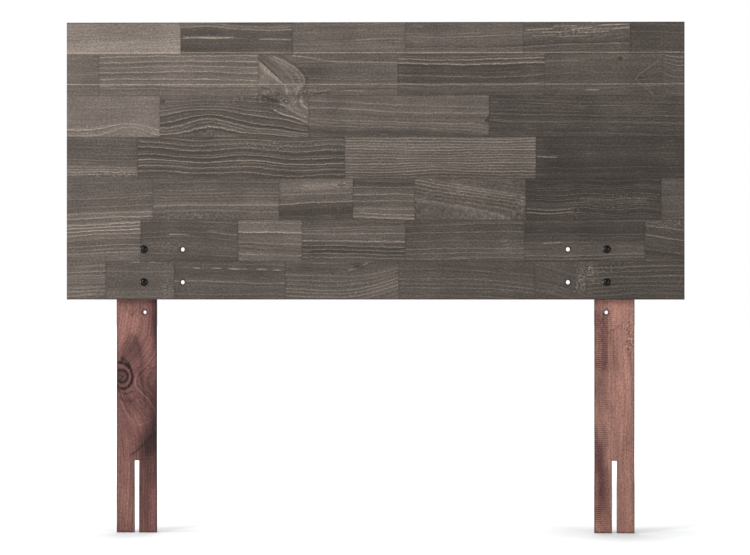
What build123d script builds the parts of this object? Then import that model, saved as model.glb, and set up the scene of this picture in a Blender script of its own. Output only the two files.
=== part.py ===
from build123d import *
import math
import os

# A bed headboard: a panel glued up from finger-jointed staves, carried on two
# slotted legs by four carriage bolts, each with a washer and a hex nut.
# Millimetres. +X is to the right as seen from the front, -Y is the front and
# +Z is up. The origin is on the floor, at the centre of the whole footprint.

# The panel
PANEL_WIDTH = 1372.0
OVERALL_HEIGHT = 1135.0
PANEL_THICKNESS = 19.0
TOP_ROW_HEIGHT = 71.0
ROW_HEIGHT = 92.0
BOTTOM_ROW_HEIGHT = 85.0
EDGE_RADIUS = 3.0

# Two decorative V-grooves run along the whole front face
GROOVE_WIDTH = 3.0
GROOVE_DEPTH = 1.5
GROOVE_DROPS = (68.0, 138.0)

# Stave lengths from left to right, one list for each row from the top down.
# None marks the stave that takes up whatever length is left in its row.
STAVE_LENGTHS = (
    (254.0, 249.0, 250.0, None, 236.0, 121.0),
    (72.0, None, 309.0, 326.0, 261.0, 49.0),
    (208.0, 330.0, None, 433.0),
    (158.0, None, 424.0, 329.0),
    (192.0, 281.0, 164.0, 137.0, 246.0, None, 52.0),
    (165.0, 217.0, 142.0, 229.0, None, 266.0, 88.0),
    (87.0, 153.0, 247.0, 251.0, None, 114.0, 218.0),
)

# The finger joints lie flat, so a plain line shows on the panel's two faces
FINGER_COUNT = 4
FINGER_LENGTH = 10.0

# The legs
LEG_WIDTH = 89.0
LEG_THICKNESS = 19.0
LEG_EDGE_RADIUS = 1.5
LEG_INSET = 109.5
LEG_ABOVE_BOLT = 79.5
SLOT_WIDTH = 11.0
SLOT_LENGTH = 160.0

# The bolt columns stand inboard of each leg's middle line
BOLT_OFFSET = 18.0
LOWER_BOLT_RISE = 38.5
BOLT_SPACING = 73.0
SPARE_COLUMN_STEP = 86.0
SPARE_PANEL_HOLE = 9.5
SPARE_LEG_HOLE_DROP = 67.0
HOLE_CLEARANCE = 0.3

# A 5/16 in carriage bolt with its washer and nut
BOLT_DIAMETER = 7.9
BOLT_TAIL = 10.45
HEAD_DIAMETER = 17.5
HEAD_HEIGHT = 4.2
HEAD_RIM = 0.5
NECK_LENGTH = 5.0
NECK_CLEARANCE = 0.1
BOLT_TIP_CHAMFER = 0.8
WASHER_DIAMETER = 22.0
WASHER_THICKNESS = 1.8
WASHER_CLEARANCE = 0.75
NUT_ACROSS_FLATS = 12.7
NUT_THICKNESS = 6.75
NUT_CHAMFER = 0.7
THREAD_CLEARANCE = 0.05

# Places that follow from the sizes above
ROW_HEIGHTS = [TOP_ROW_HEIGHT]
ROW_HEIGHTS += [ROW_HEIGHT] * (len(STAVE_LENGTHS) - 2)
ROW_HEIGHTS += [BOTTOM_ROW_HEIGHT]
PANEL_HEIGHT = sum(ROW_HEIGHTS)
PANEL_BOTTOM = OVERALL_HEIGHT - PANEL_HEIGHT
BOLT_LENGTH = PANEL_THICKNESS + LEG_THICKNESS + WASHER_THICKNESS + NUT_THICKNESS + BOLT_TAIL
PANEL_FRONT = HEAD_HEIGHT - (HEAD_HEIGHT + BOLT_LENGTH) / 2
PANEL_BACK = PANEL_FRONT + PANEL_THICKNESS
LEG_BACK = PANEL_BACK + LEG_THICKNESS
WASHER_BACK = LEG_BACK + WASHER_THICKNESS
LEG_X = PANEL_WIDTH / 2 - LEG_INSET - LEG_WIDTH / 2
BOLT_X = LEG_X - BOLT_OFFSET
SPARE_X = BOLT_X - SPARE_COLUMN_STEP
LOWER_BOLT_Z = PANEL_BOTTOM + LOWER_BOLT_RISE
UPPER_BOLT_Z = LOWER_BOLT_Z + BOLT_SPACING
LEG_LENGTH = UPPER_BOLT_Z + LEG_ABOVE_BOLT
SPARE_LEG_HOLE_Z = LOWER_BOLT_Z - SPARE_LEG_HOLE_DROP
BOLT_HOLE_RADIUS = BOLT_DIAMETER / 2 + HOLE_CLEARANCE
CUT_MARGIN = 5.0


def block(x_min, x_max, y_min, y_max, z_min, z_max):
    """A box between two opposite corners."""
    size = (x_max - x_min, y_max - y_min, z_max - z_min)
    return Pos(x_min, y_min, z_min) * Box(*size, align=(Align.MIN, Align.MIN, Align.MIN))


def along_y(shape, x, y, z):
    """A shape drawn up the Z axis, laid over to point backwards from (x, y, z)."""
    return Pos(x, y, z) * Rot(X=-90) * shape


def drill(radius, x, z, y_min, y_max):
    """A round cutter through everything between two depths."""
    length = y_max - y_min + 2 * CUT_MARGIN
    cutter = Cylinder(radius, length, align=(Align.CENTER, Align.CENTER, Align.MIN))
    return along_y(cutter, x, y_min - CUT_MARGIN, z)


def bolt_places():
    """Each bolt's name with its place in the panel's plane."""
    for side, x in (("left", -BOLT_X), ("right", BOLT_X)):
        yield f"{side}_upper", x, UPPER_BOLT_Z
        yield f"{side}_lower", x, LOWER_BOLT_Z


def machined_panel():
    """The whole glued panel after edge rounding, grooving and drilling."""
    half_width = PANEL_WIDTH / 2
    panel = block(-half_width, half_width, PANEL_FRONT, PANEL_BACK, PANEL_BOTTOM, OVERALL_HEIGHT)
    rims = panel.faces().filter_by(Axis.Y).edges()
    panel = fillet(rims, EDGE_RADIUS)
    for drop in GROOVE_DROPS:
        panel -= groove(OVERALL_HEIGHT - drop)
    for _, x, z in bolt_places():
        panel -= drill(BOLT_HOLE_RADIUS, x, z, PANEL_FRONT, PANEL_BACK)
        panel -= neck_pocket(x, z)
    for x in (-SPARE_X, SPARE_X):
        for z in (LOWER_BOLT_Z, UPPER_BOLT_Z):
            panel -= drill(SPARE_PANEL_HOLE / 2, x, z, PANEL_FRONT, PANEL_BACK)
    return panel


def groove(z):
    """A V-shaped cutter along the panel's front, wide at the face."""
    half = GROOVE_WIDTH / 2
    slope = half / GROOVE_DEPTH
    outer = CUT_MARGIN * slope
    corners = [
        (PANEL_FRONT + GROOVE_DEPTH, z),
        (PANEL_FRONT - CUT_MARGIN, z - half - outer),
        (PANEL_FRONT - CUT_MARGIN, z + half + outer),
    ]
    length = PANEL_WIDTH + 2 * CUT_MARGIN
    profile = Plane.YZ * make_face(Polyline(*corners, close=True))
    return Pos(-length / 2, 0, 0) * extrude(profile, length, dir=(1, 0, 0))


def neck_pocket(x, z):
    """The square seat that a carriage bolt's neck pulls into the wood."""
    half = BOLT_DIAMETER / 2 + NECK_CLEARANCE
    y_min = PANEL_FRONT - CUT_MARGIN
    y_max = PANEL_FRONT + NECK_LENGTH + NECK_CLEARANCE
    return block(x - half, x + half, y_min, y_max, z - half, z + half)


def stave_lengths(lengths):
    """A row's stave lengths, with the open one filled in."""
    rest = PANEL_WIDTH - sum(length for length in lengths if length is not None)
    return [rest if length is None else length for length in lengths]


def finger_line(x):
    """Points of one finger joint in plan, from the front face to the back."""
    step = PANEL_THICKNESS / (2 * FINGER_COUNT)
    depths = [PANEL_FRONT + step * k for k in range(2 * FINGER_COUNT + 1)]
    return [(x + FINGER_LENGTH * (k % 2), y) for k, y in enumerate(depths)]


def end_line(x):
    """The plain sawn end of a row, from the front face to the back."""
    return [(x, PANEL_FRONT), (x, PANEL_BACK)]


def staves(panel):
    """Every stave as its own solid, cut out of the machined panel."""
    z_top = OVERALL_HEIGHT
    for row, (lengths, height) in enumerate(zip(STAVE_LENGTHS, ROW_HEIGHTS), start=1):
        x = -PANEL_WIDTH / 2
        left = end_line(x)
        pieces = stave_lengths(lengths)
        for number, length in enumerate(pieces, start=1):
            x += length
            right = end_line(x) if number == len(pieces) else finger_line(x)
            outline = make_face(Polyline(*left, *reversed(right), close=True))
            blank = Pos(0, 0, z_top - height) * extrude(outline, height, dir=(0, 0, 1))
            yield f"stave_{row}_{number}", panel & blank
            left = right
        z_top -= height


def leg(x, inboard):
    """One slotted leg; inboard is +1 or -1, towards the panel's middle."""
    half = LEG_WIDTH / 2
    body = block(x - half, x + half, PANEL_BACK, LEG_BACK, 0, LEG_LENGTH)
    body = fillet(body.edges().filter_by(Axis.Z), LEG_EDGE_RADIUS)
    body -= block(
        x - SLOT_WIDTH / 2, x + SLOT_WIDTH / 2,
        PANEL_BACK - CUT_MARGIN, LEG_BACK + CUT_MARGIN,
        -CUT_MARGIN, SLOT_LENGTH,
    )
    for z in (SPARE_LEG_HOLE_Z, LOWER_BOLT_Z, UPPER_BOLT_Z):
        body -= drill(BOLT_HOLE_RADIUS, x + inboard * BOLT_OFFSET, z, PANEL_BACK, LEG_BACK)
    return body


def carriage_bolt():
    """A domed head on a square neck and a round shank, drawn up the Z axis."""
    head_radius = HEAD_DIAMETER / 2
    dome_rise = HEAD_HEIGHT - HEAD_RIM
    dome_radius = (head_radius**2 + dome_rise**2) / (2 * dome_rise)
    dome_turn = math.asin(head_radius / dome_radius) / 2
    middle = (
        -dome_radius * math.sin(dome_turn),
        -HEAD_HEIGHT + dome_radius * (1 - math.cos(dome_turn)),
    )
    rim = Polyline((0, -HEAD_HEIGHT), (0, 0), (-head_radius, 0), (-head_radius, -HEAD_RIM))
    dome = ThreePointArc((-head_radius, -HEAD_RIM), middle, (0, -HEAD_HEIGHT))
    head = revolve(Plane.XZ * make_face([*rim.edges(), dome.edge()]), Axis.Z)
    up = (Align.CENTER, Align.CENTER, Align.MIN)
    neck = Box(BOLT_DIAMETER, BOLT_DIAMETER, NECK_LENGTH, align=up)
    shank = Cylinder(BOLT_DIAMETER / 2, BOLT_LENGTH, align=up)
    shank = chamfer(shank.edges().filter_by(GeomType.CIRCLE).sort_by(Axis.Z)[-1], BOLT_TIP_CHAMFER)
    return head + neck + shank


def washer():
    """A flat washer with its front face at Z = 0."""
    up = (Align.CENTER, Align.CENTER, Align.MIN)
    disc = Cylinder(WASHER_DIAMETER / 2, WASHER_THICKNESS, align=up)
    bore = Cylinder(BOLT_DIAMETER / 2 + WASHER_CLEARANCE, WASHER_THICKNESS, align=up)
    return disc - bore


def nut():
    """A hex nut with its front face at Z = 0 and both rims chamfered."""
    up = (Align.CENTER, Align.CENTER, Align.MIN)
    corner_radius = NUT_ACROSS_FLATS / math.sqrt(3)
    hexagon = extrude(RegularPolygon(corner_radius, 6), NUT_THICKNESS)
    turned = Cylinder(corner_radius, NUT_THICKNESS, align=up)
    rims = turned.edges().filter_by(GeomType.CIRCLE)
    turned = chamfer(rims, NUT_CHAMFER)
    bore = Cylinder(BOLT_DIAMETER / 2 + THREAD_CLEARANCE, NUT_THICKNESS, align=up)
    return (hexagon & turned) - bore


def nodes():
    """Every piece with its name."""
    yield from staves(machined_panel())
    yield "leg_left", leg(-LEG_X, 1)
    yield "leg_right", leg(LEG_X, -1)
    for name, x, z in bolt_places():
        yield f"bolt_{name}", along_y(carriage_bolt(), x, PANEL_FRONT, z)
        yield f"washer_{name}", along_y(washer(), x, LEG_BACK, z)
        yield f"nut_{name}", along_y(nut(), x, WASHER_BACK, z)


os.makedirs("parts", exist_ok=True)
for node_name, shape in nodes():
    export_step(shape, f"parts/{node_name}.step")
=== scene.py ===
"""A full-size bed headboard: grey-stained, wire-brushed pine staves on two red-stained pine legs."""

import math

import bpy
import numpy as np
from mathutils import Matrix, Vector


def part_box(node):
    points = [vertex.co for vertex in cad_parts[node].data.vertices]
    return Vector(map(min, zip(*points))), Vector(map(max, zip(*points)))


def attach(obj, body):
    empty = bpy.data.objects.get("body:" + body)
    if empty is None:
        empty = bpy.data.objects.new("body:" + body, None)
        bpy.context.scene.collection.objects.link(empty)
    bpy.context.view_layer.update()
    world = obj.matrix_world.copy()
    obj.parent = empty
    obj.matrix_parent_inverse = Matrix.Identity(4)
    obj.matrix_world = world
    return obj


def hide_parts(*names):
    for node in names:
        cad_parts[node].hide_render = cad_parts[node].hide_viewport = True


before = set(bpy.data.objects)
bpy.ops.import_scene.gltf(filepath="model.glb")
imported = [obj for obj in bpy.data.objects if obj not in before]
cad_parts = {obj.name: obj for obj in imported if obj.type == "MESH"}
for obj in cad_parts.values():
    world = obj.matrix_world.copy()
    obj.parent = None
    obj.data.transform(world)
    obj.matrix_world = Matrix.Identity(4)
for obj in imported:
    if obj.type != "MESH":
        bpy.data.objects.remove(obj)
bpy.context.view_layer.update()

MM = 0.001

# Sizes that the frame doesn't hold, in millimetres
PANEL_ROUND = 3.0
JOINT_BEVEL = 0.35
LEG_ROUND = 1.5
GROOVE_HALF = 1.5
GROOVE_DEPTH = 1.5
GROOVE_DROPS = (68.0, 138.0)
FINGER_LENGTH = 10.0
FINGER_REACH = 12.0
FINGER_STEPS = 8
SPARE_HOLE_RADIUS = 4.75
BOLT_HOLE_RADIUS = 4.25
THREAD_PITCH = 25.4 / 18
BRUSHED_DEPTH = 0.35

# Holes and slots: two columns of spare holes in the panel, one spare hole and one open slot in each leg
SPARE_COLUMN_X = 428.0
SPARE_LEG_DROP = 67.0
SLOT_HALF = 5.5
SLOT_LENGTH = 160.0
SLOT_ROUND = 0.6

# A hole is bent out of a square block of lattice cells, this many across and this many hole radii in
# half-width. The block's middle, this share of it, is left open.
HOLE_CELLS = 16
HOLE_BLOCK = 2.2
HOLE_OPEN = 0.5

# Lines in the wood: a pale line's share of its drawn width, the strength of the shadow beside it with its
# place and width, and the saw's pitch
THIN_LINE = 0.78
SHADOW_SHARE = 0.45
SHADOW_STEP = 2.4
SHADOW_WIDTH = 1.4
SAW_PITCH = 4.4

# Darkening at rims, as strength and then width in millimetres: stain with painted shade along the rounded
# outer edges of panel and legs, stain at the joints between staves, and painted shade of the wall round each
# hole; then the pale colour along the V-grooves, bare wood with a painted highlight
EDGE_STAIN_AND_SHADE = (0.7, 2.0)
JOINT_STAIN = (0.3, 0.9)
LEG_EDGE_STAIN_AND_SHADE = (0.8, 2.6)
HOLE_PAINTED_SHADE = (1.0, 3.2)
GROOVE_BARE_WOOD_AND_HIGHLIGHT = 0.62

# The hollow that a face settles to at its edges
MEAN_HOLLOW = 0.18

# Two steps that spread ring numbers evenly between 0 and 1, used alike in the mesh and in the material
GOLDEN_STEP = 0.618034
PLASTIC_STEP = 0.754878

# How far apart two boards' seeds put them in the shader's noise, along and across the grain
SEED_ALONG = 911
SEED_ACROSS = 517

WHITE = (1.0, 1.0, 1.0, 1.0)


def corners(node):
    """A CAD node's lowest and highest corner, in millimetres."""
    low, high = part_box(node)
    return np.array(low) / MM, np.array(high) / MM


# ---------------------------------------------------------------- wood figure


class Figure:
    """How the grain runs in one board.

    A place is given by u, along the grain from the board's start, and w, across it, both in millimetres. On a
    stave w is counted from the upper edge, and on a leg from the left edge. A grain line keeps one value of
    `line_at`, which is w less everything that bends the line.
    """

    def __init__(self, tone, ring=9.0, strength=0.5, slope=0.0, bow=0.0, wave=(0.0, 200.0, 0.0), humps=(),
                 knots=(), peak=None, streaks=(), bands=(), dashes=(), marks=(), patches=(), scuffs=(),
                 chatter=None, seed=0):
        self.tone = tone
        self.ring = ring
        self.strength = strength
        self.slope = slope
        self.bow = bow
        self.wave = wave
        self.humps = humps
        self.knots = knots
        self.peak = peak
        self.streaks = streaks
        self.bands = bands
        self.dashes = dashes
        self.marks = marks
        self.patches = patches
        self.scuffs = scuffs
        self.chatter = chatter
        self.seed = seed

    def line_at(self, u, w, depth, length):
        """w, less a slope and a bow over the length, a wave, humps, and the lines' way round each knot."""
        t = u / length - 0.5
        height, wave_length, phase = self.wave
        line = w - self.slope * t + self.bow * (1 - 4 * t * t)
        line = line + height * np.sin(2 * math.pi * (u / wave_length + phase))
        line = line + drift(u, w, self.seed)
        for at, width, lift, centre, reach in self.humps:
            fade = np.exp(-(((line - centre) / reach) ** 2))
            line = line + lift * fade * np.exp(-(((u - at) / width) ** 2))
        for at, across, radius, stretch in self.knots:
            du = (u - at) / stretch
            dw = line - across
            far = np.hypot(du, dw) + 1e-6
            outside = across + dw * (1 - (radius / np.maximum(far, radius)) ** 2)
            line = np.where(far > radius, outside, across + (radius - far) * 0.8)
        if self.peak:
            across, run, blunt = self.peak
            line = np.sqrt((line - across) ** 2 + blunt**2) + run * u
        return line + 0.18 * depth

    def streaked(self, u, w, line):
        """Pale lines above 0 and dark lines below it, each a bell across the grain, broken along it."""
        total = np.zeros_like(u)
        for k, (centre, strength, width) in enumerate(self.streaks):
            slow, quick = ripple(u, 0.021, self.seed + 3.1 * k), ripple(u, 0.093, self.seed + 7.7 * k)
            along = 0.72 + 0.38 * slow * quick
            away = line - centre - 0.8 * ripple(u, 0.035, self.seed + 1.3 * k)
            thin = width * (THIN_LINE if strength > 0 else 1)
            total += strength * along * np.exp(-((away / thin) ** 2))
            shadow = np.exp(-(((away - SHADOW_STEP) / SHADOW_WIDTH) ** 2))
            total -= SHADOW_SHARE * max(strength, 0) * along * shadow
        for start, end, centre, strength, width in self.dashes:
            inside = soft_step((u - start) / 4) * soft_step((end - u) / 4)
            away = line - centre
            total += strength * inside * np.exp(-((away / width) ** 2))
            shadow = np.exp(-(((away - SHADOW_STEP) / SHADOW_WIDTH) ** 2))
            total -= SHADOW_SHARE * max(strength, 0) * inside * shadow
        for points, strength, width in self.marks:
            frayed = 0.85 + 0.25 * ripple(u + w, 0.06, self.seed + points[0][0])
            total += strength * frayed * np.exp(-((distance_to_curve(u, w, points) / width) ** 2))
        return total

    def saw_marks(self, u, w):
        """How strongly the saw's chatter shows: most at the left edge, less further in, coming and going."""
        if not self.chatter:
            return np.zeros_like(u)
        reach, strength = self.chatter
        return strength * np.exp(-((w / reach) ** 2)) * (0.65 + 0.45 * ripple(u, 0.012, 4.0))

    def shade(self, u, w, line):
        """The board's tone, with broad bands that follow the grain and soft patches that don't."""
        tone = np.full_like(u, self.tone)
        for centre, change, width in self.bands:
            tone += change * np.exp(-(((line - centre) / width) ** 2))
        for at, across, along_reach, across_reach, change in self.patches:
            tone += change * np.exp(-(((u - at) / along_reach) ** 2) - ((w - across) / across_reach) ** 2)
        return tone + 0.012 * ripple(u, 0.006, self.seed + 5.0)

    def scuffed(self, u, w):
        """How torn and raised the surface is: soft ovals, each strongest at its middle."""
        total = np.zeros_like(u)
        for at, across, along_reach, across_reach, strength in self.scuffs:
            total += strength * np.exp(-(((u - at) / along_reach) ** 2) - ((w - across) / across_reach) ** 2)
        return total

    def knot_cover(self, u, w):
        """1 inside a knot's dark heart, 0 outside."""
        cover = np.zeros_like(u)
        for at, across, radius, stretch in self.knots:
            far = np.hypot((u - at) / stretch, w - across)
            cover = np.maximum(cover, soft_step((radius - far) / (0.35 * radius)))
        return cover


def ripple(u, rate, seed):
    """A smooth uneven wave between -1 and 1: three sines whose rates share no common step."""
    turn = 2 * math.pi * rate * u
    slow, middle = np.sin(turn + seed), np.sin(1.73 * turn + 2.1 * seed)
    return (slow + 0.7 * middle + 0.5 * np.sin(2.91 * turn + 3.7 * seed)) / 2.2


def drift(u, w, seed):
    """A gentle wander of the grain lines, longer along the board than across it."""
    wide = np.sin(0.013 * u + 0.05 * w + 1.9 * seed) + 0.6 * np.sin(0.027 * u - 0.08 * w + 4.3 * seed)
    return 1.3 * wide + 0.4 * np.sin(0.071 * u + 0.11 * w + 2.7 * seed)


def distance_to_curve(u, w, points):
    """How far each place is from a smooth curve near given points: straight runs whose corners are cut off
    at a quarter of each run, four times over."""
    curve = np.array(points, float)
    for _ in range(4):
        quarter, three = 0.75 * curve[:-1] + 0.25 * curve[1:], 0.25 * curve[:-1] + 0.75 * curve[1:]
        curve = np.concatenate([curve[:1], np.stack([quarter, three], 1).reshape(-1, 2), curve[-1:]])
    start, run = curve[:-1], np.diff(curve, axis=0)
    near = np.full(u.shape, np.inf)
    for (u0, w0), (du, dw) in zip(start, run):
        t = np.clip(((u - u0) * du + (w - w0) * dw) / (du * du + dw * dw + 1e-9), 0, 1)
        near = np.minimum(near, np.hypot(u - u0 - t * du, w - w0 - t * dw))
    return near


def soft_step(x):
    """0 below -1 and 1 above 1, with an S between."""
    t = np.clip((x + 1) / 2, 0, 1)
    return t * t * (3 - 2 * t)


def ring_line(rings):
    """The height of the thin latewood line that starts each ring, from 0 to 1."""
    number = np.floor(rings)
    part = rings - number
    pick = np.modf(np.abs(number * GOLDEN_STEP))[0]
    return np.clip(1 - part / 0.26, 0, 1) ** 1.5 * np.clip((pick - 0.25) / 0.75, 0, 1)
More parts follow.
